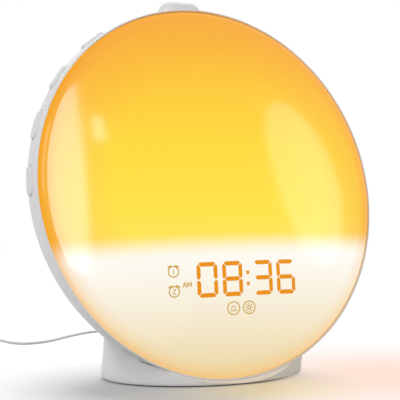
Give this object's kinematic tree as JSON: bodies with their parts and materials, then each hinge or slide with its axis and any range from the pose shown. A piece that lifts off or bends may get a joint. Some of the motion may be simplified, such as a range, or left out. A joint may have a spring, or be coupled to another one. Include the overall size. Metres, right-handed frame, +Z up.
{
  "type": "sunrise alarm clock",
  "caption": "Round bedside light that leans back on an oval foot, with a lit clock display in its lower face, press keys round the rim, a snooze key on top and a wire aerial.",
  "frame": {"origin": "centre of the foot, on the table", "axes": "+X to the right of someone facing the lit face, +Y away from them, +Z up; the lit face looks along -Y and leans back 13 degrees"},
  "size_m": [0.1776, 0.2124, 0.1773],
  "materials": {
    "housing_white": "fine satin",
    "diffuser_lit": "smooth satin, translucent, lit from inside",
    "seam_grey": "matte",
    "reflector_white": "matte",
    "board_white": "solder mask",
    "board_green": "solder mask",
    "led_amber": "clear epoxy",
    "digit_orange": "glowing",
    "icon_gold": "glowing",
    "screw_steel": "zinc plated",
    "spacer_brass": "turned",
    "chip_black": "matte",
    "cell_steel": "brushed",
    "speaker_black": "matte",
    "magnet_steel": "plated",
    "cone_paper": "pressed paper",
    "foam_black": "foam",
    "lead_black": "satin",
    "key_white": "satin",
    "flex_amber": "flexible board",
    "grip_rubber": "matte",
    "socket_steel": "plated",
    "aerial_grey": "smooth insulation"
  },
  "bodies": {
    "clock": {"rear_housing": "housing_white", "front_diffuser": "diffuser_lit", "seam_gasket": "seam_grey", "reflector_bowl": "reflector_white", "light_divider": "reflector_white", "led_board": "board_white", "sunrise_leds": "led_amber", "led_board_screws": "screw_steel", "display_module": "reflector_white", "time_digits": "digit_orange", "indicator_icons": "icon_gold", "display_board": "board_green", "display_screws": "screw_steel", "main_board": "board_green", "main_board_spacers": "spacer_brass", "main_board_screws": "screw_steel", "main_board_chips": "chip_black", "cell_holder": "chip_black", "coin_cell": "cell_steel", "speaker_frame": "speaker_black", "speaker_magnet": "magnet_steel", "speaker_cone": "cone_paper", "speaker_gasket": "foam_black", "speaker_lead": "lead_black", "speaker_grille": "housing_white", "left_key_board": "flex_amber", "left_key_switches": "chip_black", "right_key_board": "flex_amber", "right_key_switches": "chip_black", "snooze_board": "board_green", "snooze_board_screws": "screw_steel", "snooze_switch": "chip_black", "base_plate": "housing_white", "base_screws": "screw_steel", "grip_pad": "grip_rubber", "port_board": "board_green", "port_board_screws": "screw_steel", "power_socket": "chip_black", "usb_socket": "socket_steel", "power_lead": "lead_black", "aerial_gland": "housing_white", "aerial_wire": "aerial_grey", "aerial_coil": "aerial_grey"},
    "left_key_1_body": {"left_key_1": "key_white"},
    "left_key_2_body": {"left_key_2": "key_white"},
    "left_key_3_body": {"left_key_3": "key_white"},
    "left_key_4_body": {"left_key_4": "key_white"},
    "right_key_1_body": {"right_key_1": "key_white"},
    "right_key_2_body": {"right_key_2": "key_white"},
    "right_key_3_body": {"right_key_3": "key_white"},
    "right_key_4_body": {"right_key_4": "key_white"},
    "snooze_key_body": {"snooze_key": "key_white"}
  },
  "joints": [
    {"name": "left_key_1_press", "type": "slide", "parent": "clock", "child": "left_key_1_body", "axis": [0.5764, -0.1838, -0.7962], "range_m": [0, 0.0006], "stiffness_N_per_m": 800, "springref_m": -0.001},
    {"name": "left_key_2_press", "type": "slide", "parent": "clock", "child": "left_key_2_body", "axis": [0.7902, -0.1379, -0.5972], "range_m": [0, 0.0006], "stiffness_N_per_m": 800, "springref_m": -0.001},
    {"name": "left_key_3_press", "type": "slide", "parent": "clock", "child": "left_key_3_body", "axis": [0.9348, -0.0799, -0.346], "range_m": [0, 0.0006], "stiffness_N_per_m": 800, "springref_m": -0.001},
    {"name": "left_key_4_press", "type": "slide", "parent": "clock", "child": "left_key_4_body", "axis": [0.9978, -0.0149, -0.0646], "range_m": [0, 0.0006], "stiffness_N_per_m": 800, "springref_m": -0.001},
    {"name": "right_key_1_press", "type": "slide", "parent": "clock", "child": "right_key_1_body", "axis": [-0.5764, -0.1838, -0.7962], "range_m": [0, 0.0006], "stiffness_N_per_m": 800, "springref_m": -0.001},
    {"name": "right_key_2_press", "type": "slide", "parent": "clock", "child": "right_key_2_body", "axis": [-0.7902, -0.1379, -0.5972], "range_m": [0, 0.0006], "stiffness_N_per_m": 800, "springref_m": -0.001},
    {"name": "right_key_3_press", "type": "slide", "parent": "clock", "child": "right_key_3_body", "axis": [-0.9348, -0.0799, -0.346], "range_m": [0, 0.0006], "stiffness_N_per_m": 800, "springref_m": -0.001},
    {"name": "right_key_4_press", "type": "slide", "parent": "clock", "child": "right_key_4_body", "axis": [-0.9978, -0.0149, -0.0646], "range_m": [0, 0.0006], "stiffness_N_per_m": 800, "springref_m": -0.001},
    {"name": "snooze_key_press", "type": "slide", "parent": "clock", "child": "snooze_key_body", "axis": [0, -0.225, -0.9744], "range_m": [0, 0.001], "stiffness_N_per_m": 700, "springref_m": -0.001}
  ]
}
